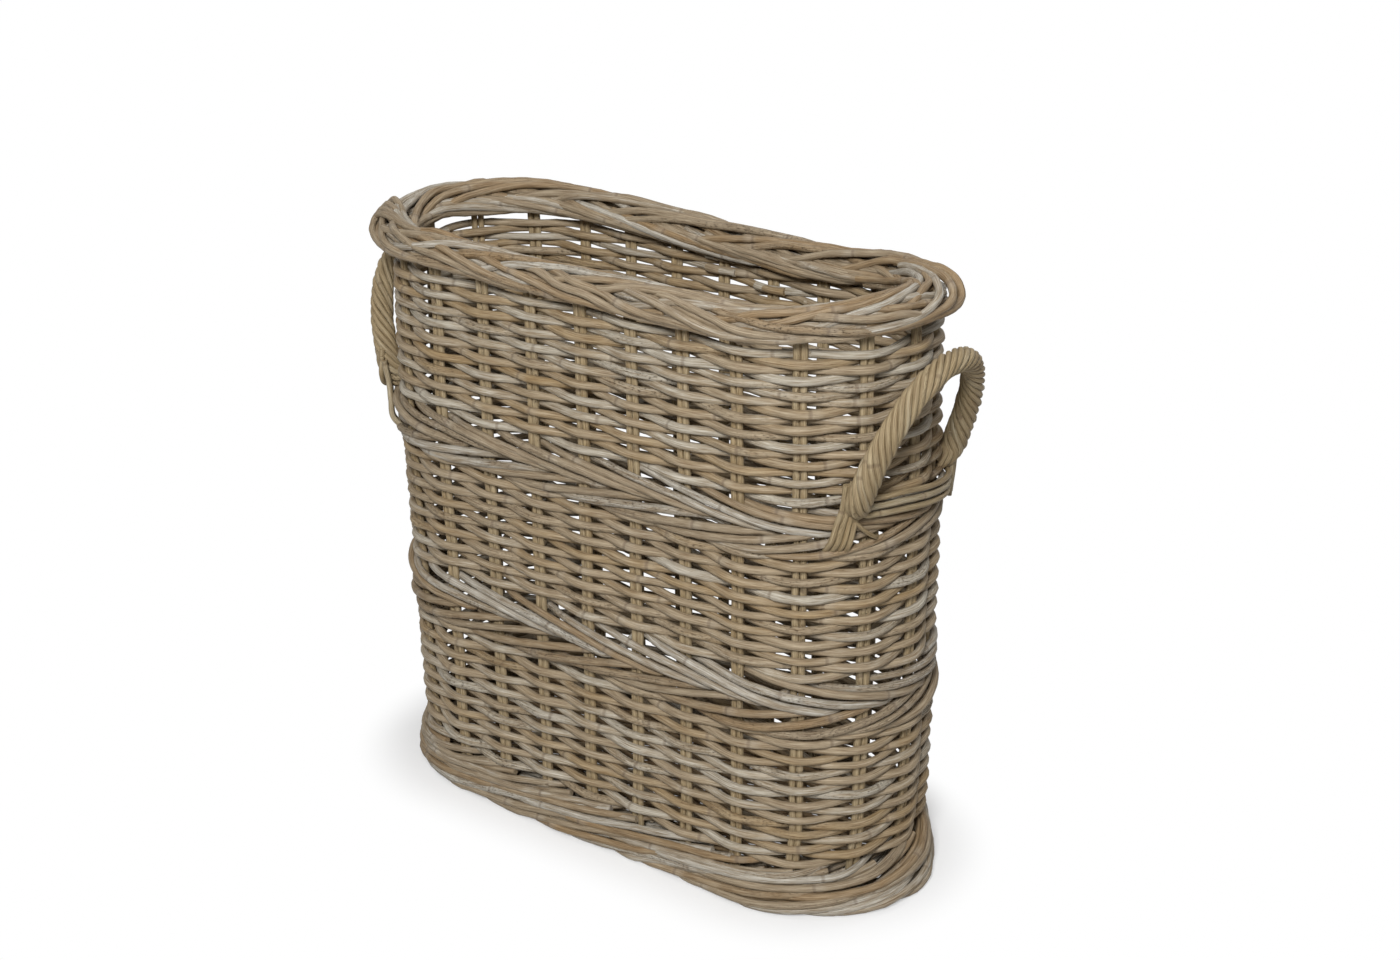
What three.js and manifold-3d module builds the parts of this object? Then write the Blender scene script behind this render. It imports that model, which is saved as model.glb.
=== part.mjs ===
// A tall oval wicker basket of grey rattan cane, in millimetres, +Z up.
// The origin is on the ground under the middle of the basket. +X runs along the oval to the
// right-hand handle, and -Y is the front.
//
// Twenty-four pairs of upright stakes stand in an oval. The walls are woven round them in three
// stretches of plain siding, parted by two bands of waling, and a rolled border closes the wall
// at its foot and at its mouth. Here each woven stretch is a solid oval ring of the true outer
// shape, with a channel for every pair of stakes. The gaps between the canes of the siding are a
// plain grid of fewer, larger ones, and the slanting canes of the two borders are one ridge to a
// stake. The base is a woven oval panel on cross sticks, let into the foot border. A rope-twisted
// handle on a stiff core rises from the upper waling at each end, and its loose strand ends lie
// splayed down the wall.
import * as THREE from 'three';
import { mergeVertices } from 'three/addons/utils/BufferGeometryUtils.js';
import Module from 'manifold-3d';

const wasm = await Module();
wasm.setup();

// The oval of the wall, on the line through the stakes
const straight_half = 141;
const end_radius = 91;
const arc_steps = 14;

// The woven stretches, from the ground up
const foot_height = 33;
const lower_siding_height = 118;
const lower_wale_height = 44;
const middle_siding_height = 102;
const upper_wale_height = 36;
const upper_siding_height = 114;
const border_height = 33;

// Canes and what they stand proud of the siding
const stake_diameter = 6;
const weaver_diameter = 6;
const stake_pairs = 24;
const wale_proud = 1.5;
const foot_overhang = 12;
const foot_inner_overhang = 4;
const border_overhang = 9;
const stake_foot_cover = 6;
const stake_top_cover = 11;

// The grid of gaps in the siding, one column between every two pairs of stakes
const weave_gap_length = 21;
const weave_gap_height = 7;
const weave_gap_pitch = 30;

// The slanting ridges of the borders: how high they stand, how many lie round the rolled one, over
// how many stakes those of the foot fall, and the sections of a border to a stake
const ridge_height = 3;
const border_ridges = 8;
const foot_ridge_stakes = 1.5;
const ridge_steps = 3;

// Gaps between solids that meet, and how far every cut runs past what it cuts
const clearance = 0.3;
const overrun = 5;

// Rounding of the woven stretches, as a share of their own width and height
const foot_round_share = 0.35;
const wale_round_share = 0.22;
const siding_round_share = 0.06;
const foot_steps = 2;
const edge_steps = 1;

// The base panel and its cross sticks
const base_height = 11.5;
const base_thickness = 10;
const base_tongue = 3;
const base_stick_diameter = 6;
const base_sticks = 7;
const base_stick_end_margin = 1.5;

// The rope-twisted handles
const rope_diameter = 21;
const core_diameter = 8;
const handle_wall_gap = 4.5;
const handle_border_gap = 4.5;
const rope_bed = 3.5;
const handle_foot_rise = 13;
const handle_foot_stakes = 1.5;
const arch_power = 0.78;
const rope_sides = 10;
const core_sides = 6;
const rope_steps = 22;
const tail_diameter = 5;
const tail_length = 48;
const tail_sides = 5;
const tail_steps = 9;
const tail_pitch = 7.5;
// Where each tail leaves the rope, as a share of a turn from the front, and how many pitches it
// ends up to that side of the handle's foot
const tail_leave_shares = [0.03, 0.14, 0.27, 0.44];
const tail_splay = [3, 2, 1, -2];

// Heights of the joints between the woven stretches
const foot_top = foot_height;
const lower_siding_top = foot_top + lower_siding_height;
const lower_wale_top = lower_siding_top + lower_wale_height;
const middle_siding_top = lower_wale_top + middle_siding_height;
const upper_wale_top = middle_siding_top + upper_wale_height;
const upper_siding_top = upper_wale_top + upper_siding_height;
const border_top = upper_siding_top + border_height;

// Distances from the stake line, outwards
const wall_half = stake_diameter / 2 + weaver_diameter;
const wale_outer = wall_half + wale_proud;
const foot_outer = wall_half + foot_overhang;
const foot_inner = wall_half + foot_inner_overhang;
const border_half = wall_half + border_overhang;

const end_arc = Math.PI * end_radius;
const quarter_length = straight_half + end_arc / 2;
const stake_spacing = 4 * quarter_length / stake_pairs;
const stake_bottom = stake_foot_cover;
const stake_top = border_top - stake_top_cover;

const cane = new THREE.MeshStandardMaterial({ color: 0xa8977c, roughness: 0.85, metalness: 0 });
const stake_cane = new THREE.MeshStandardMaterial({ color: 0xa08458, roughness: 0.85, metalness: 0 });
const border_cane = new THREE.MeshStandardMaterial({ color: 0x9c8a6c, roughness: 0.85, metalness: 0 });
const handle_cane = new THREE.MeshStandardMaterial({ color: 0xa58a60, roughness: 0.8, metalness: 0 });
const base_cane = new THREE.MeshStandardMaterial({ color: 0x8d7c62, roughness: 0.9, metalness: 0 });

const basket = new THREE.Group();

function add_mesh(name, geometry, material) {
  geometry.computeVertexNormals();
  const mesh = new THREE.Mesh(geometry, material);
  mesh.name = name;
  basket.add(mesh);
  return mesh;
}

// Booleans
function solid_of(geometry) {
  const bare = geometry.clone();
  bare.deleteAttribute('normal');
  bare.deleteAttribute('uv');
  const merged = mergeVertices(bare);
  return new wasm.Manifold(new wasm.Mesh({
    numProp: 3,
    vertProperties: merged.attributes.position.array,
    triVerts: new Uint32Array(merged.index.array),
  }));
}

function geometry_of(solid) {
  const mesh = solid.getMesh();
  const geometry = new THREE.BufferGeometry();
  geometry.setAttribute('position', new THREE.BufferAttribute(mesh.vertProperties, 3));
  geometry.setIndex(new THREE.BufferAttribute(mesh.triVerts, 1));
  return geometry;
}

// The place on the wall at a distance along the stake line from the front's middle, towards +X:
// a point and the outward direction there
function wall_place(distance) {
  const round = 4 * quarter_length;
  const along = ((distance % round) + round) % round;
  const half_turn = along >= 2 * quarter_length ? -1 : 1;
  const part = along >= 2 * quarter_length ? along - 2 * quarter_length : along;
  let x = part;
  let turn = 0;
  if (part > straight_half) {
    turn = Math.min((part - straight_half) / end_radius, Math.PI);
    x = straight_half + end_radius * Math.sin(turn);
  }
  let y = -end_radius * Math.cos(turn);
  if (part > straight_half + end_arc) {
    x = straight_half - (part - straight_half - end_arc);
    y = end_radius;
  }
  return {
    x: half_turn * x,
    y: half_turn * y,
    out_x: half_turn * Math.sin(turn),
    out_y: -half_turn * Math.cos(turn),
  };
}

function point_off_wall(distance, offset, z) {
  const place = wall_place(distance);
  return new THREE.Vector3(place.x + offset * place.out_x, place.y + offset * place.out_y, z);
}

// The distances at which a ring has a section: the ends of the straight sides and steps round
// the arcs
function ring_stations() {
  const stations = [];
  for (const side of [0, 2 * quarter_length]) {
    for (let step = 0; step <= arc_steps; step += 1) {
      stations.push(side + straight_half + end_arc * step / arc_steps);
    }
  }
  return stations;
}

// A section with rounded corners, as points (outward distance, height) in order round it. Points
// closer together than the clearance are joined.
function rounded_section(inner, outer, low, high, round_share, steps) {
  const round_out = (outer - inner) * round_share;
  const round_up = (high - low) * round_share;
  const corners = [
    [outer - round_out, low + round_up, -1],
    [outer - round_out, high - round_up, 0],
    [inner + round_out, high - round_up, 1],
    [inner + round_out, low + round_up, 2],
  ];
  const section = [];
  for (const [out, up, quarter] of corners) {
    for (let step = 0; step <= steps; step += 1) {
      const angle = (quarter + step / steps) * Math.PI / 2;
      const point = [out + round_out * Math.cos(angle), up + round_up * Math.sin(angle)];
      const last = section[section.length - 1];
      if (!last || Math.hypot(point[0] - last[0], point[1] - last[1]) > clearance) {
        section.push(point);
      }
    }
  }
  const gap = Math.hypot(section[0][0] - section.at(-1)[0], section[0][1] - section.at(-1)[1]);
  if (gap <= clearance) {
    section.pop();
  }
  return section;
}

// A closed ring through the section that each station has
function carried_ring(stations, section_at) {
  const positions = [];
  const index = [];
  for (const distance of stations) {
    for (const [out, up] of section_at(distance)) {
      positions.push(...point_off_wall(distance, out, up).toArray());
    }
  }
  const sides = section_at(0).length;
  for (let i = 0; i < stations.length; i += 1) {
    const next = (i + 1) % stations.length;
    for (let j = 0; j < sides; j += 1) {
      const after = (j + 1) % sides;
      const a = i * sides + j;
      const b = next * sides + j;
      const c = next * sides + after;
      const d = i * sides + after;
      index.push(a, b, c, a, c, d);
    }
  }
  const geometry = new THREE.BufferGeometry();
  geometry.setAttribute('position', new THREE.Float32BufferAttribute(positions, 3));
  geometry.setIndex(index);
  return geometry;
}

// A closed ring: one section carried round the oval
function ring_geometry(section) {
  return carried_ring(ring_stations(), () => section);
}

// A closed ring with ridges, with a few stations to every stake
function ridged_ring(section_at) {
  const count = stake_pairs * ridge_steps;
  const stations = Array.from({ length: count }, (_, step) => 4 * quarter_length * step / count);
  return carried_ring(stations, section_at);
}

// The outline of an oval that follows the stake line at an offset
function oval_shape(offset) {
  const shape = new THREE.Shape();
  const radius = end_radius + offset;
  shape.moveTo(-straight_half, -radius);
  shape.lineTo(straight_half, -radius);
  shape.absarc(straight_half, 0, radius, -Math.PI / 2, Math.PI / 2, false);
  shape.lineTo(-straight_half, radius);
  shape.absarc(-straight_half, 0, radius, Math.PI / 2, 3 * Math.PI / 2, false);
  return shape;
}

// Stakes: two canes side by side, each a hexagon, that share the flat where they touch
const stake_radius = stake_diameter / 2;
const stake_flat = stake_radius * Math.cos(Math.PI / 6);
const stake_edge = stake_radius * Math.sin(Math.PI / 6);

function stake_shape() {
  return new THREE.Shape([
    [0, -stake_edge], [stake_flat, -stake_radius], [2 * stake_flat, -stake_edge],
    [2 * stake_flat, stake_edge], [stake_flat, stake_radius], [0, stake_edge],
    [-stake_flat, stake_radius], [-2 * stake_flat, stake_edge],
    [-2 * stake_flat, -stake_edge], [-stake_flat, -stake_radius],
  ].map(([x, y]) => new THREE.Vector2(x, y)));
}

function channel_shape() {
  const wide = 2 * stake_flat + clearance;
  const deep = stake_radius + clearance;
  return new THREE.Shape([
    [wide, -deep], [wide, deep], [-wide, deep], [-wide, -deep],
  ].map(([x, y]) => new THREE.Vector2(x, y)));
}

function extruded(shape, depth, curve_segments) {
  return new THREE.ExtrudeGeometry(shape, {
    depth,
    bevelEnabled: false,
    curveSegments: curve_segments,
  });
}

// Stands a stake-wise shape at its place on the wall, its long side along the wall
function stand_on_wall(object, distance, z) {
  const place = wall_place(distance);
  object.position.set(place.x, place.y, z);
  object.rotation.z = Math.atan2(place.out_y, place.out_x) + Math.PI / 2;
  object.updateMatrix();
}

function make_stakes() {
  for (let number = 0; number < stake_pairs; number += 1) {
    const name = `stake_pair_${String(number + 1).padStart(2, '0')}`;
    const stake = extruded(stake_shape(), stake_top - stake_bottom, 1);
    stand_on_wall(add_mesh(name, stake, stake_cane), number * stake_spacing, stake_bottom);
  }
}

// Every pair's channel, as one solid
function stake_channels() {
  const low = stake_bottom - clearance;
  const high = stake_top + clearance;
  const channels = [];
  for (let number = 0; number < stake_pairs; number += 1) {
    const place = new THREE.Object3D();
    stand_on_wall(place, number * stake_spacing, low);
    const channel = extruded(channel_shape(), high - low, 1);
    channel.applyMatrix4(place.matrix);
    channels.push(solid_of(channel));
  }
  return channels.reduce((all, channel) => all.add(channel));
}

const channels = stake_channels();

// The grid of gaps in a stretch of siding, as one solid
function weave_gaps(low, high) {
  const rows = Math.max(Math.round((high - low) / weave_gap_pitch), 1);
  const row_height = (high - low) / rows;
  const gaps = [];
  for (let number = 0; number < stake_pairs; number += 1) {
    for (let row = 0; row < rows; row += 1) {
      const place = new THREE.Object3D();
      stand_on_wall(place, (number + 0.5) * stake_spacing, low + (row + 0.5) * row_height);
      const gap = new THREE.BoxGeometry(weave_gap_length, 2 * (wall_half + overrun), weave_gap_height);
      gaps.push(solid_of(gap.applyMatrix4(place.matrix)));
    }
  }
  return gaps.reduce((all, gap) => all.add(gap));
}

// The woven stretches
function woven_ring(name, section, material) {
  const ring = solid_of(ring_geometry(section)).subtract(channels);
  add_mesh(name, geometry_of(ring), material);
}

function siding_ring(name, low, high) {
  const ring = solid_of(ring_geometry(siding_section(low, high)));
  add_mesh(name, geometry_of(ring.subtract(channels).subtract(weave_gaps(low, high))), cane);
}

function siding_section(low, high) {
  return rounded_section(-wall_half, wall_half, low + clearance / 2, high - clearance / 2,
    siding_round_share, edge_steps);
}

function wale_section(low, high) {
  return rounded_section(-wall_half, wale_outer, low + clearance / 2, high - clearance / 2,
    wale_round_share, edge_steps);
}

// The rolled border: its ridges fall to the right round the roll
function border_section(distance) {
  const turns = Math.round(stake_pairs / border_ridges);
  const turn = -2 * Math.PI * turns * distance / (4 * quarter_length);
  const half_height = (border_height - clearance / 2) / 2;
  const section = [];
  for (let point = 0; point < 2 * border_ridges; point += 1) {
    const angle = turn + Math.PI * point / border_ridges;
    const sunk = (point % 2) * ridge_height;
    const out = (border_half - sunk) * Math.cos(angle);
    section.push([out, border_top - half_height + (half_height - sunk) * Math.sin(angle)]);
  }
  return section;
}

function make_walls() {
  siding_ring('lower_siding', foot_top, lower_siding_top);
  woven_ring('lower_wale', wale_section(lower_siding_top, lower_wale_top), cane);
  siding_ring('middle_siding', lower_wale_top, middle_siding_top);
  woven_ring('upper_wale', wale_section(middle_siding_top, upper_wale_top), cane);
  siding_ring('upper_siding', upper_wale_top, upper_siding_top);
  const border = solid_of(ridged_ring(border_section)).subtract(channels);
  add_mesh('top_border', geometry_of(border), border_cane);
}

// The foot border, with a groove round its inside that holds the edge of the base panel
const base_edge = -(foot_inner - base_tongue);
const base_top = base_height + base_thickness;

// The foot's ridges fall to the right down its flank, and leave its top and its underside flat
function foot_section(distance) {
  const section = rounded_section(-foot_inner, foot_outer, 0, foot_top - clearance / 2,
    foot_round_share, foot_steps);
  const flank = foot_outer - (foot_inner + foot_outer) * foot_round_share + clearance;
  return section.map(([out, up]) => {
    const stakes = distance / stake_spacing + foot_ridge_stakes * up / foot_top;
    const sunk = out > flank ? ridge_height * Math.sin(Math.PI * stakes) ** 2 : 0;
    return [out - sunk, up];
  });
}

function make_foot_border() {
  const panel_room = extruded(oval_shape(base_edge + clearance), base_thickness + 2 * clearance,
    arc_steps);
  panel_room.translate(0, 0, base_height - clearance);
  const ring = solid_of(ridged_ring(foot_section)).subtract(channels).subtract(solid_of(panel_room));
  add_mesh('foot_border', geometry_of(ring), border_cane);
}

// The base: an oval panel woven over cross sticks, each lying in its own channel
function base_stick_half(x) {
  const radius = end_radius + base_edge - base_stick_end_margin;
  const past_straight = Math.max(Math.abs(x) - straight_half, 0);
  return Math.sqrt(Math.max(radius ** 2 - past_straight ** 2, 0));
}

function base_stick_geometry(radius, half_length, x) {
  const stick = new THREE.CylinderGeometry(radius, radius, 2 * half_length, core_sides);
  stick.translate(x, 0, 0);
  return stick;
}

function make_base() {
  const panel = extruded(oval_shape(base_edge), base_thickness, arc_steps);
  panel.translate(0, 0, base_height);
  let weave = solid_of(panel);
  const stick_height = base_height + base_thickness / 2;
  const stick_pitch = 2 * (straight_half + end_radius + base_edge) / (base_sticks + 1);
  const radius = base_stick_diameter / 2;
  for (let number = 0; number < base_sticks; number += 1) {
    const x = (number - (base_sticks - 1) / 2) * stick_pitch;
    const stick = base_stick_geometry(radius, base_stick_half(x), x);
    stick.translate(0, 0, stick_height);
    const room = base_stick_geometry(radius + clearance, end_radius + overrun, x);
    room.translate(0, 0, stick_height);
    weave = weave.subtract(solid_of(room));
    add_mesh(`base_stick_${number + 1}`, stick, base_cane);
  }
  add_mesh('base_weave', geometry_of(weave), base_cane);
}

// Handles
const rope_radius = rope_diameter / 2;
const core_radius = core_diameter / 2;
const tail_radius = tail_diameter / 2;
const handle_foot_distance = quarter_length - handle_foot_stakes * stake_spacing;
const handle_foot_offset = wall_half + rope_radius - rope_bed;
const handle_foot = point_off_wall(handle_foot_distance, handle_foot_offset,
  middle_siding_top + handle_foot_rise);
const handle_top_x = straight_half + end_radius + wall_half + handle_wall_gap + rope_radius;
const handle_top_z = upper_siding_top - handle_border_gap - rope_radius;

// The arch of the right-hand handle's middle line, from its front foot to its back foot
function handle_path() {
  const points = [];
  for (let step = 0; step <= rope_steps; step += 1) {
    const angle = Math.PI * step / rope_steps;
    const across = Math.sign(Math.cos(angle)) * Math.abs(Math.cos(angle)) ** arch_power;
    const rise = Math.abs(Math.sin(angle)) ** arch_power;
    points.push(new THREE.Vector3(
      handle_foot.x + (handle_top_x - handle_foot.x) * rise,
      handle_foot.y * across,
      handle_foot.z + (handle_top_z - handle_foot.z) * rise,
    ));
  }
  return new THREE.CatmullRomCurve3(points);
}

function polygon_points(radius, sides) {
  const points = [];
  for (let side = 0; side < sides; side += 1) {
    const angle = 2 * Math.PI * side / sides;
    points.push(new THREE.Vector2(radius * Math.cos(angle), radius * Math.sin(angle)));
  }
  return points;
}

function tube_geometry(path, radius, sides, steps, bore) {
  const shape = new THREE.Shape(polygon_points(radius, sides));
  if (bore) {
    shape.holes.push(new THREE.Path(polygon_points(bore, core_sides)));
  }
  return new THREE.ExtrudeGeometry(shape, { steps, bevelEnabled: false, extrudePath: path });
}

// One strand end: it leaves the rope's wall at the foot, in line with the rope, and lies down the
// outside of the basket
function tail_path(rope_path, leave_share, splay) {
  const turn = 2 * Math.PI * leave_share;
  const rope_wall = (rope_radius + core_radius) / 2;
  const along = rope_wall * Math.cos(turn);
  const out = rope_wall * Math.sin(turn);
  const root = point_off_wall(handle_foot_distance - along, handle_foot_offset + out, handle_foot.z);
  const up_rope = rope_path.getTangent(0);
  const wale_lie = wale_outer + clearance + tail_radius;
  const siding_lie = wall_half + clearance + tail_radius;
  const side = splay * tail_pitch;
  return new THREE.CatmullRomCurve3([
    root.clone().addScaledVector(up_rope, tail_diameter),
    root.clone().addScaledVector(up_rope, -tail_radius),
    point_off_wall(handle_foot_distance - (along + side) / 2, wale_lie, middle_siding_top),
    point_off_wall(handle_foot_distance - side, siding_lie, handle_foot.z - tail_length),
  ]);
}

// Rings that fill the wall and its clearance, which cut the rope where it beds against them
function wall_keepouts() {
  const siding = rounded_section(0, wall_half + clearance, lower_wale_top, upper_siding_top,
    siding_round_share, edge_steps);
  const wale = rounded_section(0, wale_outer + clearance, middle_siding_top - clearance,
    upper_wale_top + clearance, siding_round_share, edge_steps);
  return solid_of(ring_geometry(siding)).add(solid_of(ring_geometry(wale)));
}

function handle_solids() {
  const path = handle_path();
  const core = solid_of(tube_geometry(path, core_radius, core_sides, rope_steps));
  let front_tails = null;
  tail_leave_shares.forEach((share, number) => {
    const tail = tail_path(path, share, tail_splay[number]);
    const solid = solid_of(tube_geometry(tail, tail_radius, tail_sides, tail_steps));
    front_tails = front_tails ? front_tails.add(solid) : solid;
  });
  const bore = core_radius + clearance;
  const rope = solid_of(tube_geometry(path, rope_radius, rope_sides, rope_steps, bore))
    .add(front_tails)
    .add(front_tails.mirror([0, 1, 0]))
    .subtract(wall_keepouts());
  return { core, rope };
}

function make_handles() {
  const { core, rope } = handle_solids();
  add_mesh('right_handle_core', geometry_of(core), stake_cane);
  add_mesh('right_handle_rope', geometry_of(rope), handle_cane);
  add_mesh('left_handle_core', geometry_of(core.mirror([1, 0, 0])), stake_cane);
  add_mesh('left_handle_rope', geometry_of(rope.mirror([1, 0, 0])), handle_cane);
}

make_base();
make_foot_border();
make_stakes();
make_walls();
make_handles();

export default basket;
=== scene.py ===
# %% [markdown]
# # A tall oval basket of rattan cane
# The basket is woven from round rattan canes about 6 mm thick. Pairs of upright stakes stand in an
# oval, plain siding is woven in and out of them, two bands of waling bind the wall, and thick
# rolled borders close it at the foot and at the mouth. A rope-twisted handle sits at each end.
#
# The CAD model holds the real sizes as plain solids. This script reads them, and lays every cane
# as a line where the solids are. One Geometry Nodes tree then gives all the lines their thickness,
# so the whole basket is made the way a weaver makes it: cane by cane.

# %% Load the frame
import math

import bpy
import numpy as np
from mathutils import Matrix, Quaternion, Vector


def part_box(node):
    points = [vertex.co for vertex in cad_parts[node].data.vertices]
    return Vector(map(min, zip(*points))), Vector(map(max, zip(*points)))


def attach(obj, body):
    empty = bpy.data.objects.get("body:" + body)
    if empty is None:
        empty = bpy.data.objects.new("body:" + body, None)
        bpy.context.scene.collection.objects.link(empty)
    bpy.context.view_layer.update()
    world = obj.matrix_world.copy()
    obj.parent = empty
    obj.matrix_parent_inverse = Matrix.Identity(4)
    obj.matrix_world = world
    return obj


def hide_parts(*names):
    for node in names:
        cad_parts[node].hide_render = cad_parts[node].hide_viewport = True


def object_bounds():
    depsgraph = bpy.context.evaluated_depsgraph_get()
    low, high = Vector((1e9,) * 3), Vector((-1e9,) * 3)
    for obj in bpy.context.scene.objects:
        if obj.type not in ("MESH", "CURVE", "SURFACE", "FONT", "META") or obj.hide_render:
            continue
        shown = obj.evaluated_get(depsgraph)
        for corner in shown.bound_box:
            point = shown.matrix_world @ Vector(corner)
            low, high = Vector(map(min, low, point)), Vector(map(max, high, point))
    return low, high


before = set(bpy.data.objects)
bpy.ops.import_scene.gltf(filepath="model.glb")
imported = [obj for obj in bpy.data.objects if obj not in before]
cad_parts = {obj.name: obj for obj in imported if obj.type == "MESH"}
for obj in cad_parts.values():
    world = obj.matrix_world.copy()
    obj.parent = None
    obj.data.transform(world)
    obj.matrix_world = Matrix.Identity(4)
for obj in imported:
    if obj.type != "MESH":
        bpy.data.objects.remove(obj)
cad_box = [list(corner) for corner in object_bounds()]
mm = 0.001
rng = np.random.default_rng(24)
print("CAD nodes:", len(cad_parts))

# %% [markdown]
# ## Sizes read from the frame
# The oval of the stakes has two straight sides and two half circles. Its sizes follow from the
# box of a siding ring and of the stake pair in the middle of the front, so nothing is typed twice.

# %% The oval and the woven stretches
stake_low, stake_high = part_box("stake_pair_01")
siding_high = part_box("lower_siding")[1]
stake_radius = (stake_high.y - stake_low.y) / 2
end_radius = -(stake_high.y + stake_low.y) / 2
wall_half = siding_high.y - end_radius
straight_half = siding_high.x - siding_high.y
quarter = straight_half + math.pi * end_radius / 2
stake_count = sum(name.startswith("stake_pair_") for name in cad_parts)
spacing = 4 * quarter / stake_count
cane_radius = (wall_half - stake_radius) / 2


def heights(node):
    low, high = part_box(node)
    return low.z, high.z


print("stakes", stake_count, "spacing mm", round(spacing / mm, 2))
print("cane radius mm", round(cane_radius / mm, 2))

# %% [markdown]
# ## A place on the wall
# Weavers think of a place on the wall as how far round it is, how far it stands out and how high
# it is. The same three numbers are used here. "Round" is counted in stakes from the middle of the
# front, so a whole number is always at a stake.


# %% Wall coordinates
def on_wall(round_wall, out, height):
    """Points so many stakes round the wall, so far out from the stakes, and so high."""
    given = (np.asarray(value, float) for value in (round_wall, out, height))
    round_wall, out, height = np.broadcast_arrays(*given)
    distance = round_wall * spacing
    half = np.where(np.mod(distance, 4 * quarter) < 2 * quarter, 1.0, -1.0)
    part = np.mod(distance, 2 * quarter)
    turn = np.clip((part - straight_half) / end_radius, 0, math.pi)
    past_end = np.maximum(part - straight_half - math.pi * end_radius, 0)
    x = half * (np.minimum(part, straight_half) - past_end + (end_radius + out) * np.sin(turn))
    y = -half * (end_radius + out) * np.cos(turn)
    return np.stack([x, y, height], -1)


def outwards(round_wall):
    """The direction straight out of the wall at places round it."""
    return on_wall(round_wall, 1.0, 0.0) - on_wall(round_wall, 0.0, 0.0)


print("the middle of the back:", on_wall(stake_count / 2, 0, 0).round(3))

# %% [markdown]
# ## Not quite true
# Hand weaving is never quite level, and this basket leans a little at its ends. Its rim dips at
# the back right and draws in at the right end. Small tables of places and millimetres say how
# far, because they are easier to read and mend than a formula. The lean moves every line of cane
# alike, so the pieces still fit each other.

# %% Sagging rows and leaning ends
# Each row: how high a wave is, how many go round, where it starts, and how far it turns a metre up
sag_waves = [(1.3 * mm, 2, 0.6, 9), (0.9 * mm, 5, 0.0, 21)]
# Each row: share of the whole height, then how many millimetres the end wall stands out
left_lean_rows = [(0.0, -8), (0.06, -7), (0.2, -3), (0.42, 0), (0.62, 5), (0.72, 6), (0.9, 4), (1.0, 5)]
right_lean_rows = [(0.0, -1), (0.07, 1), (0.13, 4), (0.3, 5), (0.62, 5), (0.9, 1), (1.0, 0)]


def from_table(rows, at):
    """What a table of places and numbers gives at any place, also between its rows."""
    places, numbers = np.asarray(rows, float).T
    return np.interp(at, places, numbers)


def sag(round_wall, height):
    """How far rows of canes drift up and down from level, most in the middle of the wall."""
    low, high = heights("foot_border")[1], heights("top_border")[0]
    middle = np.sin(math.pi * np.clip((height - low) / (high - low), 0, 1))
    turn = 2 * math.pi * np.asarray(round_wall) / stake_count
    waves = (size * np.sin(count * turn + start + height * up) for size, count, start, up in sag_waves)
    return middle * sum(waves)


def leaning(points):
    """The same points on the real, slightly leaning basket."""
    share = points[:, 2] / cad_box[1][2]
    half_length = straight_half + end_radius
    moved = points.copy()
    for side, rows in ((-1, left_lean_rows), (1, right_lean_rows)):
        weight = np.clip(side * points[:, 0] / half_length, 0, 1)
        moved[:, 0] += side * weight * from_table(rows, share) * mm
    return moved


print("rows sag by up to mm", round(sum(wave[0] for wave in sag_waves) / mm, 1))

# %% The rim's dip and reach
# Each row: stakes from the middle of the front, then how many millimetres up or out
rim_drift_rows = [
    (0, -2), (1.1, -2.5), (3, -3.5), (4, 0), (5, 3.5), (6, 4), (7, -1), (8, -2.5), (8.5, -4.5), (9, -7),
    (9.5, -9.5), (10.3, -11), (12, -8), (14, -3), (16, 0), (17, 1), (18, 3), (19, 0), (20.3, 0), (21, 1),
    (22.7, -2), (24, -2),
]
rim_reach_rows = [(0, 0), (5.2, 0), (6.2, -5), (7.2, -9), (8, -5), (9, 0), (24, 0)]


def rim_drift(round_wall):
    return mm * from_table(rim_drift_rows, np.mod(round_wall, stake_count))


def rim_reach(round_wall, out):
    return out + mm * from_table(rim_reach_rows, np.mod(round_wall, stake_count))


print("the rim dips at most", -min(drift for _, drift in rim_drift_rows), "mm")

# %% [markdown]
# ## Canes as lines
# Every cane starts as a line of points. Beside its place, each point carries what the cane is
# like there: how thick it is, its tone from honey to weathered grey, and a grain number that
# makes its markings its own. Siding canes also carry how they swing in and out of the stakes,
# which the node tree turns into the over-and-under of the weave.

# %% A bundle of canes
grain_range = (0, 50)


class Bundle:
    """Canes that are still lines, gathered to be made into one piece."""

    columns = ("thickness", "tone", "grain", "place", "swing", "turn")

    def __init__(self):
        self.points, self.outward, self.edges, self.told = [], [], [], []
        self.count = 0
        self.canes = 0

    def lay(self, points, thickness, tone, place=0.0, swing=0.0, turn=0.0, outward=(0, 0, 0)):
        """Adds one cane. What is told of it is a number, or a number for each of its points."""
        points = np.asarray(points, float)
        rows = len(points)
        told = (thickness, tone, rng.uniform(*grain_range), place, swing, turn)
        self.told.append(np.stack([np.broadcast_to(np.asarray(v, float), rows) for v in told], -1))
        self.outward.append(np.broadcast_to(np.asarray(outward, float), (rows, 3)))
        self.points.append(points)
        first = np.arange(self.count, self.count + rows - 1)
        self.edges.append(np.stack([first, first + 1], -1))
        self.count += rows
        self.canes += 1

    def line_mesh(self, name):
        """A mesh of edges only, with a named attribute for each thing that is told."""
        mesh = bpy.data.meshes.new(name)
        points = leaning(np.concatenate(self.points))
        mesh.from_pydata(points.tolist(), np.concatenate(self.edges).tolist(), [])
        told = np.concatenate(self.told)
        for number, column in enumerate(self.columns):
            values = mesh.attributes.new(column, "FLOAT", "POINT")
            values.data.foreach_set("value", told[:, number].astype(np.float32))
        outward = mesh.attributes.new("outward", "FLOAT_VECTOR", "POINT")
        outward.data.foreach_set("vector", np.concatenate(self.outward).astype(np.float32).ravel())
        return mesh


print("told of each cane:", ", ".join(Bundle.columns))

# %% Smooth lines and tones
grey_share = 0.42
grey_tones = (0.68, 1.0)
warm_tones = (0.05, 0.6)


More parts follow.
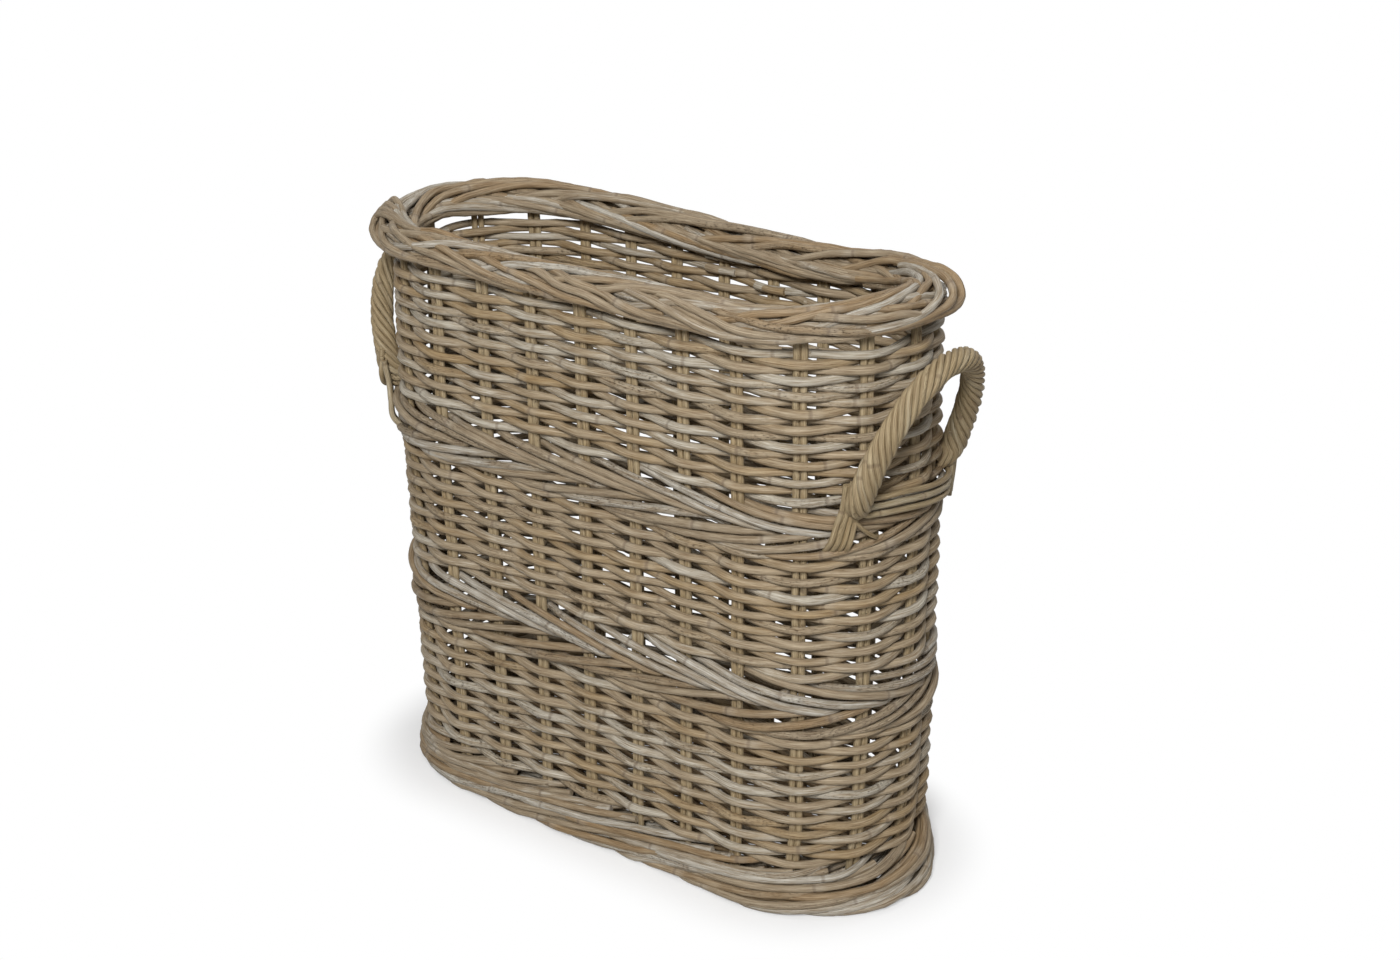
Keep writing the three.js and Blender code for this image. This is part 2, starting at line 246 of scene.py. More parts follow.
def through(knots, rows, steps=8):
    """A smooth line through rows of numbers at their knots, with so many steps to a unit."""
    knots, rows = np.asarray(knots, float), np.asarray(rows, float)
    slopes = np.gradient(rows, knots, axis=0)
    count = max(int(round((knots[-1] - knots[0]) * steps)), 2)
    at = np.linspace(knots[0], knots[-1], count + 1)
    part = np.clip(np.searchsorted(knots, at, side="right") - 1, 0, len(knots) - 2)
    width = (knots[part + 1] - knots[part])[:, None]
    u = (at - knots[part])[:, None] / width
    start, end = rows[part], rows[part + 1]
    line = start * (1 + 2 * u) * (1 - u) ** 2 + end * u * u * (3 - 2 * u)
    line += width * (slopes[part] * u * (1 - u) ** 2 + slopes[part + 1] * u * u * (u - 1))
    return at, line


def any_tone():
    """Most canes are honey or tan, and others have weathered to a pale grey."""
    tones = grey_tones if rng.random() < grey_share else warm_tones
    return float(rng.uniform(*tones))


print("share of grey canes:", grey_share)

# %% [markdown]
# ## Node trees, a line to a node
# Both Geometry Nodes and materials are trees of nodes. This small pair of classes lets a tree be
# written as plain Python: one method adds any node, and sums of its outputs are expressions.


# %% Helpers for node trees
def maths(operation, turned=False):
    """An operator that adds a Math node, with its two values the other way round if turned."""

    def apply(self, other=0.0):
        pair = (other, self) if turned else (self, other)
        return self.tree.add("ShaderNodeMath", {"operation": operation}, dict(enumerate(pair)))

    return apply


class Value:
    """The output of a node, with the operators that its tree's sums need."""

    def __init__(self, tree, socket):
        self.tree, self.socket = tree, socket

    __add__, __radd__ = maths("ADD"), maths("ADD", True)
    __sub__, __rsub__ = maths("SUBTRACT"), maths("SUBTRACT", True)
    __mul__, __rmul__ = maths("MULTIPLY"), maths("MULTIPLY", True)
    __truediv__ = maths("DIVIDE")
    below, at_most = maths("LESS_THAN"), maths("MINIMUM")
    cosine, arcsine = maths("COSINE"), maths("ARCSINE")
    fraction, size = maths("FRACT"), maths("ABSOLUTE")

    def output(self, key):
        """Another output of the same node."""
        return Value(self.tree, self.socket.node.outputs[key])


class Tree:
    """A node tree that nodes are added to."""

    def __init__(self, nodes):
        self.nodes = nodes

    def add(self, kind, settings=None, sockets=None, output=0):
        """Adds a node of a kind: first its settings, then the values or links of its sockets."""
        node = self.nodes.nodes.new(kind)
        for name, value in (settings or {}).items():
            if name == "stops":
                self.set_stops(node.color_ramp, value)
            else:
                setattr(node, name, value)
        for key, value in (sockets or {}).items():
            if isinstance(value, Value):
                self.nodes.links.new(value.socket, node.inputs[key])
            else:
                node.inputs[key].default_value = value
        return Value(self, node.outputs[output]) if len(node.outputs) else node

    def set_stops(self, ramp, stops):
        while len(ramp.elements) < len(stops):
            ramp.elements.new(0.5)
        for element, (position, colour) in zip(ramp.elements, stops):
            element.position, element.color = position, colour


def emptied(owner):
    """The node tree of a material or a world, with its first nodes taken out."""
    owner.use_nodes = True
    owner.node_tree.nodes.clear()
    return Tree(owner.node_tree)


# %% [markdown]
# ## One tree for every cane
# The tree takes the bundle's lines. It first swings each point out from the wall and back, along
# a wave whose crests fall on every other stake: that is plain weaving, and a row that starts one
# stake later goes the other way. Then it turns the lines into curves, thickens them along their
# length by a slow random wave, because no cane is even, and sweeps a circle along them. The
# distance along the cane and the place round its skin are stored, because the grain follows them.

# %% The tree's named inputs
canes_tree = bpy.data.node_groups.new("canes_along_lines", "GeometryNodeTree")
canes_tree.interface.new_socket("Geometry", in_out="OUTPUT", socket_type="NodeSocketGeometry")
cane_inputs = {
    name: canes_tree.interface.new_socket(name, in_out="INPUT", socket_type=f"NodeSocket{kind}").identifier
    for name, kind in (
        ("Geometry", "Geometry"),
        ("Stake Spacing", "Float"),
        ("Bend Sharpness", "Float"),
        ("Sides", "Int"),
        ("Unevenness", "Float"),
        ("Lump Length", "Float"),
        ("Seed", "Float"),
        ("Finish", "Material"),
    )
}
print("canes tree inputs:", ", ".join(cane_inputs))

# %% The canes tree
noise_middle = 0.5
# A face on a cane's side has four corners, and a cap has more, so caps stay flat
side_corners_limit = 4.5


def fill_canes_tree():
    tree = Tree(canes_tree)
    given = tree.add("NodeGroupInput")

    def told(name, kind="FLOAT"):
        return tree.add("GeometryNodeInputNamedAttribute", {"data_type": kind}, {"Name": name})

    def stored(geometry, name, value, kind="FLOAT"):
        sockets = {"Geometry": geometry, "Name": name, "Value": value}
        return tree.add("GeometryNodeStoreNamedAttribute", {"data_type": kind, "domain": "POINT"}, sockets)

    sharp = given.output("Bend Sharpness")
    wave = ((told("place") / given.output("Stake Spacing") + told("turn")) * math.pi).cosine()
    swing = told("swing") * (wave * sharp).arcsine() / sharp.arcsine()
    push_sockets = {0: told("outward", "FLOAT_VECTOR"), "Scale": swing}
    push = tree.add("ShaderNodeVectorMath", {"operation": "SCALE"}, push_sockets)
    lines = {"Geometry": given.output("Geometry"), "Offset": push}
    woven = tree.add("GeometryNodeSetPosition", sockets=lines)
    curves = tree.add("GeometryNodeMeshToCurve", sockets={"Mesh": woven})
    length = tree.add("GeometryNodeSplineParameter", output="Length")
    lump_place = length / given.output("Lump Length") + told("grain") + given.output("Seed")
    lumps = tree.add("ShaderNodeTexNoise", {"noise_dimensions": "1D"}, {"W": lump_place, "Detail": 1.0})
    radius = told("thickness") * (1 + given.output("Unevenness") * (lumps - noise_middle))
    curves = stored(curves, "along", length)
    ring = {"Resolution": given.output("Sides"), "Radius": 1.0}
    circle = tree.add("GeometryNodeCurvePrimitiveCircle", sockets=ring)
    circle = stored(circle, "skin", tree.add("GeometryNodeInputPosition"), "FLOAT_VECTOR")
    tube_sockets = {"Curve": curves, "Profile Curve": circle, "Scale": radius, "Fill Caps": True}
    tube = tree.add("GeometryNodeCurveToMesh", sockets=tube_sockets)
    on_side = tree.add("GeometryNodeInputMeshFaceNeighbors").below(side_corners_limit)
    smooth = tree.add("GeometryNodeSetShadeSmooth", sockets={"Geometry": tube, "Shade Smooth": on_side})
    real = tree.add("GeometryNodeRealizeInstances", sockets={"Geometry": smooth})
    finish = {"Geometry": real, "Material": given.output("Finish")}
    done = tree.add("GeometryNodeSetMaterial", sockets=finish)
    tree.add("NodeGroupOutput", sockets={"Geometry": done})


fill_canes_tree()
print("canes tree nodes:", len(canes_tree.nodes))

# %% [markdown]
# ## Rattan, weathered
# Rattan left with its bark stripped is honey to tan, and goes grey where it has weathered. Fine
# fibres run along each cane, a dark ring shows where a leaf grew, and scraps of brown bark cling
# to some canes. All of it follows the cane: patterns read the distance along it and the place
# round its skin, stretched so that they run lengthwise.


# %% Colours and patterns of the skin
def paint(red, green, blue):
    """A colour given as screen values from 0 to 255."""
    return tuple(((c / 255 + 0.055) / 1.055) ** 2.4 for c in (red, green, blue)) + (1.0,)


honey, tan, pale = paint(177, 153, 114), paint(185, 169, 143), paint(205, 199, 184)
fibre_shade, thread_brown = paint(142, 125, 103), paint(116, 94, 64)
ring_brown, bark_brown, speck_brown = paint(84, 60, 36), paint(78, 60, 40), paint(92, 72, 48)

# Each pattern: how fine it is to a metre of cane and round it, its detail, and its roughness
skin_patterns = {
    "fibres": (55.0, 4.2, 3.0, 0.62),
    "threads": (140.0, 9.0, 2.0, 0.6),
    "blotches": (38.0, 0.9, 3.0, 0.55),
    "bark": (5.0, 0.2, 0.0, 0.5),
    "crumbs": (420.0, 4.0, 3.0, 0.7),
    "specks": (300.0, 5.0, 1.0, 0.5),
}
# How far apart the leaf rings are. A ring and its collar each have a middle, and fade in between
# two distances from it, all as shares of that length
ring_spacing = 150 * mm
ring_middle, ring_fade = 0.5, (0.013, 0.004)
collar_middle, collar_fade = 0.52, (0.05, 0.012)
# How far the grain number moves the patterns and the rings along a cane
grain_shift, ring_shift = 7.3, 3.7
# Between which values of its pattern each mark fades in. The more bark a finish has, the lower
# the value from which its rough stretches do
thread_fade, speck_fade = (0.58, 0.74), (0.70, 0.78)
crumb_fade = (0.56, 0.66)
bark_start, bark_full, bark_reach = 0.60, 0.72, 0.06
print("skin patterns:", ", ".join(skin_patterns))


# %% The patterns as nodes
def ramp(tree, value, low, high):
    """Nought up to the low value, one from the high value on, and a slope between them."""
    sockets = {"Value": value, "From Min": low, "From Max": high}
    return tree.add("ShaderNodeMapRange", {"clamp": True}, sockets)


def skin_parts(tree, bark):
    """What a cane's skin has at a place: its tone, three patterns and four kinds of marks."""

    def told(column, output="Fac"):
        return tree.add("ShaderNodeAttribute", {"attribute_name": column}, output=output)

    grain, along = told("grain"), told("along")
    skin_x = tree.add("ShaderNodeSeparateXYZ", None, {0: told("skin", "Vector")})
    skin_y = skin_x.output(1)

    def pattern(name):
        lengthwise, across, detail, rough = skin_patterns[name]
        shifted = along * lengthwise + grain * grain_shift
        place = {0: shifted, 1: skin_x * across, 2: skin_y * across + grain}
        vector = tree.add("ShaderNodeCombineXYZ", None, place)
        sockets = {"Vector": vector, "Scale": 1.0, "Detail": detail, "Roughness": rough}
        return tree.add("ShaderNodeTexNoise", None, sockets)

    ring_place = (along / ring_spacing + grain * ring_shift).fraction()
    ring = ramp(tree, (ring_place - ring_middle).size(), *ring_fade)
    collar = ramp(tree, (ring_place - collar_middle).size(), *collar_fade)
    rough_cane = ramp(tree, pattern("bark"), bark_start - bark_reach * bark, bark_full)
    flecks = rough_cane * ramp(tree, pattern("crumbs"), *crumb_fade)
    specks = ramp(tree, pattern("specks"), *speck_fade)
    patterns = [pattern(name) for name in ("fibres", "threads", "blotches")]
    return told("tone"), *patterns, ring, collar, flecks, specks


# %% [markdown]
# ## The rattan material
# The tone picks a colour between honey, tan and pale, and blotches and fibres push it about. The
# lines between the fibres are darker, and brown threads, rings, bark and specks are laid over it
# in thin coats. The same patterns lift the bump, so light catches what the colour shows.


# %% The rattan finish
# How far blotches and fibres push the tone, and the stretch of tones that is plain tan
blotch_push, fibre_push = 0.7, 0.35
tan_from, tan_to = 0.42, 0.72
# How much each mark covers, and the height that a full step of the bump stands for
coat_shares = {"threads": 0.35, "ring": 0.45, "collar": 0.12, "flecks": 0.75, "specks": 0.5}
skin_relief = 0.35 * mm


def rattan(name, honey, tan, pale, bark):
    """A cane finish between three colours, with so much bark left on."""
    material = bpy.data.materials.new(name)
    tree = emptied(material)
    tone, fibres, threads, blotches, ring, collar, flecks, specks = skin_parts(tree, bark)

    def mix(share, first, second, blend="MIX"):
        settings = {"data_type": "RGBA", "blend_type": blend}
        return tree.add("ShaderNodeMix", settings, {0: share, 6: first, 7: second}, output=2)

    pushed = tone + (blotches - noise_middle) * blotch_push + (fibres - noise_middle) * fibre_push
    weathered = ramp(tree, pushed, 0.0, 1.0)
    stops = [(0.0, honey), (tan_from, tan), (tan_to, tan), (1.0, pale)]
    colour = tree.add("ShaderNodeValToRGB", {"stops": stops}, {"Fac": weathered})
    dark = mix(1.0, colour, fibre_shade, "MULTIPLY")
    colour = mix(ramp(tree, fibres, 0.30, 0.72) * 0.9 + 0.1, dark, colour)
    brown_threads = ramp(tree, threads, *thread_fade)
    marks = (brown_threads, ring, collar, flecks, specks)
    coats = (thread_brown, ring_brown, pale, bark_brown, speck_brown)
    for mark, share, coat in zip(marks, coat_shares.values(), coats):
        colour = mix(mark * share, colour, coat)

    # The ring is a groove, and its collar and what clings to the skin stand up
    height = fibres * 0.55 + threads * 0.35 - ring * 1.1 + collar * 0.8 + flecks * 1.6
    bump_sockets = {"Strength": 0.9, "Distance": skin_relief, "Height": height}
    bump = tree.add("ShaderNodeBump", None, bump_sockets, "Normal")
    rough = ramp(tree, fibres + flecks, 0.2, 1.4) * 0.22 + 0.6
    surface = {"Base Color": colour, "Roughness": rough, "Normal": bump, "Specular IOR Level": 0.32}
    shader = tree.add("ShaderNodeBsdfPrincipled", None, surface)
    tree.add("ShaderNodeOutputMaterial", None, {"Surface": shader})
    return material


# %% Five finishes
# For each slot of the frame: the material's name, its honey, tan and pale, and how much bark it has
finish_rows = {
    "siding_cane": ("siding_rattan", honey, tan, pale, 0.6),
    "stake_cane": ("stake_rattan", paint(180, 159, 122), paint(190, 173, 140), paint(202, 192, 170), 0.2),
    "border_cane": ("border_rattan", paint(165, 141, 107), paint(175, 160, 136), paint(202, 198, 187), 0.9),
    "handle_cane": ("handle_rattan", paint(166, 146, 110), paint(178, 161, 128), paint(190, 179, 153), 0.2),
    "base_cane": ("base_rattan", paint(164, 136, 100), paint(174, 152, 120), paint(190, 178, 158), 0.7),
}
finishes = {slot: rattan(*row) for slot, row in finish_rows.items()}
print("finishes:", ", ".join(finishes))

# %% [markdown]
# ## From lines to a piece
# A bundle becomes an object of lines, the canes tree runs on it as a modifier, and the result is
# kept as a plain mesh, because only a plain mesh is the same in every program. The piece then
# takes the place of its solids in the frame.

# %% Lines into a piece
bend_sharpness = 0.88
lump_length = 55 * mm
lump_seed = 3.0
cane_unevenness = 0.32
# Stakes, the base and the handles are round enough with a side less
cane_sides, plain_sides = 10, 9


def placed(name, data):
    """A new object in the scene for a mesh, a lamp or a camera."""
    made = bpy.data.objects.new(name, data)
    bpy.context.scene.collection.objects.link(made)
    return made


def make_piece(name, bundle, slot, nodes, sides=cane_sides, unevenness=cane_unevenness):
    """Runs the canes tree on a bundle, and keeps the result as a plain mesh in the nodes' place."""
    source = placed(name + "_lines", bundle.line_mesh(name + "_lines"))
    modifier = source.modifiers.new("canes", "NODES")
    modifier.node_group = canes_tree
    settings = {
        "Stake Spacing": spacing,
        "Bend Sharpness": bend_sharpness,
        "Sides": sides,
        "Unevenness": unevenness,
        "Lump Length": lump_length,
        "Seed": lump_seed,
        "Finish": finishes[slot],
    }
    for title, value in settings.items():
        modifier[cane_inputs[title]] = value
    graph = bpy.context.evaluated_depsgraph_get()
    mesh = bpy.data.meshes.new_from_object(source.evaluated_get(graph))
    for column in ("thickness", "place", "swing", "turn", "outward"):
        if column in mesh.attributes:
            mesh.attributes.remove(mesh.attributes[column])
    bpy.data.objects.remove(source)
    piece = placed(name, mesh)
    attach(piece, "root")
    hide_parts(*nodes)
    triangles = sum(len(face.vertices) - 2 for face in mesh.polygons)
    print(name, "canes", bundle.canes, "triangles", triangles)
    return piece


# %% [markdown]
# ## The stakes
# Each stake is a pair of canes side by side. They run up the whole wall and bear a little in and
# out, because every row pushes them.

# %% Stake pairs
stake_steps = 60
stake_unevenness = 0.15
stake_lean = 0.7 * mm
# How far a stake wanders sideways and outwards, and how many radians of its wave go to a metre
stake_wobble = (0.35 * mm, (60, 90))
stake_push = (0.3 * mm, (45, 70))
stake_thickness_shares = (0.86, 0.95)
stake_tones = (0.15, 0.6)
wave_starts = (0, 6)


def wandering(height, size, turns):
    return size * np.sin(height * rng.uniform(*turns) + rng.uniform(*wave_starts))


def make_stakes():
    half_pair = (stake_high.x - stake_low.x) / 4
    for number in range(stake_count):
        bundle = Bundle()
        node = f"stake_pair_{number + 1:02d}"
        low, high = heights(node)
        height = np.linspace(low, high + min(rim_drift(number), 0), stake_steps)
        lean = rng.normal(0, stake_lean) * np.sin(math.pi * (height - low) / (high - low))
        for side in (-1, 1):
            across = side * half_pair + wandering(height, *stake_wobble) + lean
            points = on_wall(number + across / spacing, wandering(height, *stake_push), height)
            thickness = stake_radius * rng.uniform(*stake_thickness_shares)
            bundle.lay(points, thickness, rng.uniform(*stake_tones))
        make_piece(f"{node}_canes", bundle, "stake_cane", [node], plain_sides, stake_unevenness)


make_stakes()

# %% [markdown]
# ## Plain siding
# A row goes in front of one stake and behind the next, and the row above does the opposite. Real
# weavers are a metre or so long, so a row changes cane at places, always behind a stake where the
# ends don't show from outside. Each cane tapers and has its own tone.

# %% Rows and where they change cane
points_per_stake = 8
row_pitch = 6.45 * mm
# How much closer the rows lie towards the top of each stretch
row_tightening = {"lower_siding": 0.0, "middle_siding": 0.03, "upper_siding": 0.09}
# A cane runs over four to eight times two stakes. Where the last cane of a row would run over
# fewer stakes than the shortest, the one before it runs on in its place
cane_pairs = (4, 9)
shortest_cane = 4


def row_canes(first_stake):
    """The stakes between which a row's canes run: even steps from one that the row passes behind."""
    first = first_stake + 2 * int(rng.integers(0, stake_count // 2))
    starts = [first]
    while starts[-1] < first + stake_count:
        starts.append(starts[-1] + 2 * int(rng.integers(*cane_pairs)))
    starts[-1] = first + stake_count
    if len(starts) > 2 and starts[-1] - starts[-2] < shortest_cane:
        starts.pop(-2)
    return list(zip(starts, starts[1:]))


print("rows of siding mm apart:", row_pitch / mm)

# %% Siding rows
# How far a cane runs past its last stake, and over how many stakes its two ends slip inside by how
# many cane radii
overlap = 0.3
starting_slip, ending_slip = (0.7, 1.1), (0.5, 0.5)
row_wander = 0.35 * mm
row_wander_waves = (3, 7, 13)
stake_grip = 0.5
widest_taper = 0.14
siding_thickness_shares = (0.98, 1.2)


def slip(walked, stakes, radii):
    """How far inside the wall a cane is, so many stakes from its end."""
    return np.clip(1 - walked / stakes, 0, 1) * radii


def lay_row_cane(bundle, start, end, level, turn, own):
    """One cane of a row, from one stake to another."""
    steps = int((end - start + 2 * overlap) * points_per_stake)
    round_wall = np.linspace(start - overlap, end + overlap, steps)
    spin = 2 * math.pi * round_wall / stake_count
    waves = sum(np.sin(count * spin + begin) for count, begin in zip(row_wander_waves, own))
    height = level + sag(round_wall, level) + row_wander * waves
    at_start = slip(round_wall - round_wall[0], *starting_slip)
    at_end = slip(round_wall[-1] - round_wall, *ending_slip)
    taper = rng.uniform(-widest_taper, widest_taper) * ((round_wall - start) / (end - start) - 0.5)
    radius = cane_radius * (rng.uniform(*siding_thickness_shares) + taper)
    bundle.lay(
        on_wall(round_wall, -(at_start + at_end) * cane_radius, height),
        radius,
        any_tone(),
        place=round_wall * spacing,
        swing=stake_radius * stake_grip + radius,
        turn=turn,
        outward=outwards(round_wall),
    )


def weave_siding(node):
    bundle = Bundle()
    low, high = heights(node)
    rows = int(round((high - low) / row_pitch))
    for row in range(rows):
        share = (row + 0.5) / rows
        level = low + (high - low) * (share + row_tightening[node] * share * (1 - share))
        turn = row % 2
        own = rng.uniform(0, 2 * math.pi, len(row_wander_waves))
        for start, end in row_canes(1 - turn):
            lay_row_cane(bundle, start, end, level, turn, own)
    print(node, "rows", rows)
    return bundle


for stretch in row_tightening:
    make_piece(f"{stretch}_canes", weave_siding(stretch), "siding_cane", [stretch])

# %% [markdown]
# ## Waling
# A waling band is woven with four canes at once. Each passes in front of three stakes and behind
# the fourth, and the four start a stake apart, so long strokes lie on each other like the strands
# of a rope. Each band has two courses. The strokes of the upper one fall to the right and those of
# the lower one rise to the right, so that the two courses meet like the links of a chain.

# %% One waling cane
rods = 4
# Each row: stakes on from the start, out as a share of the front place, height in falls
falling_wale_shares = [
    (0.0, -1.0, 0.5), (0.45, 0.1, 0.47), (1.0, 1.0, 0.36), (2.0, 1.15, 0.02), (3.0, 1.0, -0.36),
    (3.55, 0.1, -0.47),
]
rising_wale_shares = [
    (0.0, -1.0, -0.45), (0.45, 0.2, -0.5), (1.0, 1.0, -0.44), (2.0, 1.0, -0.06), (3.0, 0.6, 0.36),
    (3.5, -0.2, 0.47),
]
middle_of_stroke = 2.0
wale_thickness_shares = (0.9, 1.12)
wale_front_share = 0.8
# Ranges that a stroke's bulge, in cane radii, and its fall are drawn from, and its play up and down
bulge_range, fall_range, wale_play = (-0.1, 0.8), (0.75, 1.15), 0.35


def wale_rod(bundle, start, strokes, shares, middle, fall):
    """One cane of so many strokes that starts behind a stake."""
    radius = cane_radius * rng.uniform(*wale_thickness_shares)
    front = stake_radius * wale_front_share + radius
    knots, rows = [], []
    for stroke in range(strokes):
        bulge = rng.uniform(*bulge_range) * cane_radius
        tilt = fall * rng.uniform(*fall_range)
        shift = rng.normal(0, wale_play) * cane_radius
        for at, out, lift in shares:
            knots.append(stroke * rods + at)
            rows.append((out * front + bulge * (at == middle_of_stroke), middle + lift * tilt + shift))
    knots.append(strokes * rods)
    rows.append((-front, middle))
    at, line = through(knots, rows, points_per_stake)
    height = line[:, 1] + sag(start + at, middle)
    bundle.lay(on_wall(start + at, line[:, 0], height), radius, any_tone())


# %% Waling bands
strokes_per_cane = 2
# The first cane of a course starts at one of so many places, a whole stroke apart
first_places = 3
# For each course: its strokes, and as shares of the band's height its middle and how far it falls
wale_courses = ((rising_wale_shares, 0.22, 0.5), (falling_wale_shares, 0.68, 0.5))


def weave_wale(node):
    bundle = Bundle()
    low, high = heights(node)
    band = high - low
    for shares, middle_share, fall_share in wale_courses:
        for rod in range(rods):
            first = rod + int(rng.integers(0, first_places)) * rods
            middle, fall = low + middle_share * band, fall_share * band
            for start in range(first, first + stake_count, strokes_per_cane * rods):
                wale_rod(bundle, start, strokes_per_cane, shares, middle, fall)
    return bundle


for band in ("lower_wale", "upper_wale"):
    make_piece(f"{band}_canes", weave_wale(band), "border_cane", [band])

# %% [markdown]
# ## Borders
# A border is a thick bundle of long strokes. The same few strokes start again at every stake, with
# a little play, so each lies on the next and the border seems to twist along the wall. A stroke is
# a small table of places, and a border says what those places mean on it.

# %% A stroke of a border
border_play = 0.7 * mm
start_play = 0.13
# How many of its own radii a cane's middle stays above the ground, with its lumps
ground_share = 1.15


def lay_stroke(bundle, start, stroke, place_of, radius, play=border_play, drift=None, flare=None):
    """One cane from a table of (stakes on, and two numbers that place_of turns into out and height)."""
    table = np.asarray(stroke, float)
    out, height = place_of(table[:, 1], table[:, 2], radius)
    rows = np.stack([out, height], -1) + rng.normal(0, play, (len(table), 2))
    knots = table[:, 0] + start + rng.normal(0, start_play)
    at, line = through(knots, rows, points_per_stake)
    if drift:
        line[:, 1] += drift(at)
    if flare:
        line[:, 0] = flare(at, line[:, 0])
    line[:, 1] = np.maximum(line[:, 1], radius * ground_share)
    bundle.lay(on_wall(at, line[:, 0], line[:, 1]), radius, any_tone())


# %% [markdown]
# ## The rim
# The rim is a roll: canes come over the crest from inside, fall across the outside, and are tucked
# under. So a place on it is the angle from straight out, and how deep a cane lies under the skin
# of the roll, in cane radii. The roll is a little flatter below, on the outside.

# %% The roll of the rim
rim_low, rim_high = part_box("top_border")
rim_half = rim_high.y - end_radius
rim_middle = (rim_low.z + rim_high.z) / 2
rim_rise = (rim_high.z - rim_low.z) / 2
rim_below_share = 0.78


def on_rim(angle, depth, radius):
    """Out and height of a cane at an angle round the rim's roll, so many radii under its skin."""
    turn = np.radians(angle)
    outside_below = (np.sin(turn) < 0) & (np.cos(turn) > 0)
    rise = rim_rise * np.where(outside_below, rim_below_share, 1.0)
    out = (rim_half - depth * radius) * np.cos(turn)
    return out, rim_middle + (rise - depth * radius) * np.sin(turn)


# Each row: stakes on from the start, angle round the roll, depth in cane radii
falling_strokes = [
    (-0.5, 150, 3.6), (0.0, 118, 3.0), (0.45, 88, 2.4), (0.85, 64, 1.5), (1.3, 44, 1.0), (1.8, 26, 1.0),
    (2.3, 8, 1.0), (2.8, -12, 1.0), (3.25, -27, 1.0), (3.7, -31, 1.2), (4.2, -22, 1.9), (4.7, -8, 3.2),
]
crest_strokes = [
    (-0.1, -4, 3.3), (0.25, 20, 2.5), (0.6, 42, 1.5), (1.1, 61, 1.0), (1.7, 77, 1.0),
    (2.3, 91, 1.0), (3.0, 108, 1.0), (3.7, 130, 1.2), (4.3, 158, 1.7), (4.8, 186, 2.4),
]
lower_strokes = [
    (-0.75, -160, 3.2), (-0.45, -118, 2.0), (-0.1, -74, 1.0), (0.3, -55, 1.0), (0.9, -41, 1.0),
    (1.5, -31, 1.3), (2.0, -20, 2.2), (2.5, -8, 3.2),
]
inner_strokes = [
    (-0.6, 222, 3.0), (0.0, 212, 1.4), (0.9, 203, 1.0), (1.9, 190, 1.0), (2.9, 176, 1.2),
    (3.6, 160, 2.2), (4.0, 146, 3.2),
]
print("rim height mm", round(2 * rim_rise / mm, 1))

# %% [markdown]
# ## Loops and cut ends
# At the turns a few canes are too stiff to follow the roll. They loop out of it and are pushed
# back in, and inside the right end two canes were simply cut. These are laid from their own
# tables, and the canes between the first and the last of a group are blended from those two.

# %% Loose canes of the rim
# Each row: stakes from the middle of the front, angle round the roll, depth in cane radii
left_loops = [
    [
        (20.7, 96, 1.0), (20.0, 84, 0.6), (19.5, 62, 0.0), (19.25, 34, -0.6), (19.4, 6, -0.6),
        (19.8, -10, 0.2), (20.5, -20, 0.8), (21.3, -30, 1.6), (22.0, -42, 3.0),
    ],
    [
        (19.5, 118, 1.8), (19.1, 98, 0.8), (18.8, 72, 0.0), (18.6, 42, -0.4), (18.75, 12, -0.3),
        (19.2, -8, 0.3), (19.9, -18, 0.8), (20.7, -28, 1.6), (21.4, -40, 3.0),
    ],
]
right_loops = [
    [
        (8.6, 112, 1.2), (7.9, 92, 0.5), (7.4, 66, -0.6), (7.1, 34, -2.6), (6.9, 2, -3.0),
        (6.5, -14, -1.6), (5.9, -20, -0.2), (5.2, -26, 1.0), (4.5, -38, 3.0),
    ],
    [
        (8.2, 122, 1.6), (7.5, 104, 0.6), (7.0, 80, 0.2), (6.5, 54, -0.3), (6.2, 26, -0.4),
        (5.8, 4, 0.2), (5.2, -10, 0.8), (4.6, -22, 1.5), (4.0, -36, 3.0),
    ],
]
cut_ends = [
    [(9.15, 193, 0.4), (8.5, 188, 0.3), (7.8, 172, 0.3), (7.1, 146, 0.4), (6.6, 118, 0.8), (6.2, 84, 1.4)],
    [(9.02, 212, 0.5), (8.4, 206, 0.4), (7.7, 194, 0.4), (7.0, 172, 0.5), (6.4, 140, 1.0), (6.0, 104, 2.0)],
]
loose_steps = 10
loose_thickness_shares = (0.9, 1.08)


def lay_loose(bundle, tables, count, thickness, points_of):
    """Canes that may turn back, from tables blended from the first cane's to the last one's."""
    first, last = (np.asarray(table, float) for table in tables)
    for number in range(count):
        table = first + (last - first) * number / max(count - 1, 1)
        line = through(np.arange(len(table)), table, loose_steps)[1]
        bundle.lay(points_of(line), thickness * rng.uniform(*loose_thickness_shares), any_tone())


def round_rim(line):
    """Points of a line that is given as places on the rim."""
    out, height = on_rim(line[:, 1], line[:, 2], cane_radius)
    return on_wall(line[:, 0], rim_reach(line[:, 0], out), height + rim_drift(line[:, 0]))


# %% Top border
rim_play = 0.9 * mm
# Each row: a stroke, how far past the stake it starts, how many radii deeper it lies, and the
# shares of a cane's thickness that it is drawn between
rim_sets = [
    (falling_strokes, 0.0, 0.0, 0.92, 1.1),
    (falling_strokes, 0.5, 1.8, 0.9, 1.0),
    (crest_strokes, 0.1, 0.0, 0.92, 1.1),
    (lower_strokes, 0.3, 0.8, 0.9, 1.05),
    (inner_strokes, 0.3, 0.0, 0.95, 1.1),
    (inner_strokes, 0.8, 0.6, 0.85, 1.0),
]


